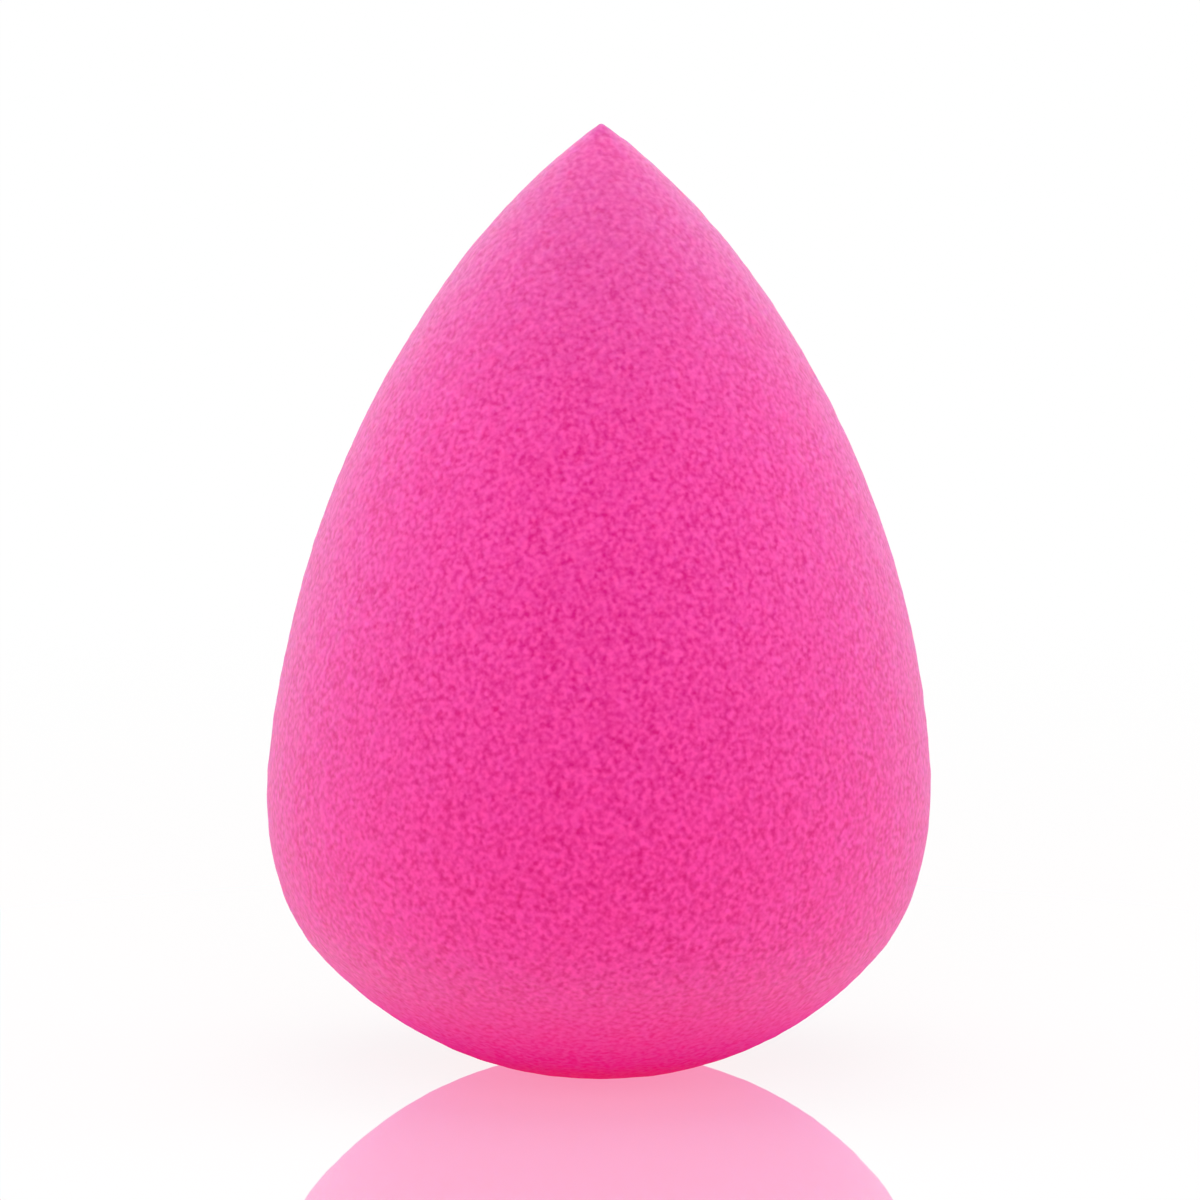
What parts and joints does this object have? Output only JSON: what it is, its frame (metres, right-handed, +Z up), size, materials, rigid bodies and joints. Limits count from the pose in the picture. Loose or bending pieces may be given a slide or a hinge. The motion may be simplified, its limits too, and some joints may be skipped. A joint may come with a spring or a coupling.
{
  "type": "makeup sponge",
  "caption": "Teardrop makeup sponge of soft fine-celled foam with a round base, a full belly and a single point, standing on a small flat.",
  "frame": {"origin": "centre of the small flat on the round base that the sponge stands on", "axes": "+Z runs up the sponge's axis to its point; the sponge is round about it, so +X and +Y are free"},
  "size_m": [0.042, 0.042, 0.06],
  "materials": {
    "sponge_foam": "matte"
  },
  "bodies": {
    "root": {"sponge_body": "sponge_foam"}
  },
  "joints": []
}
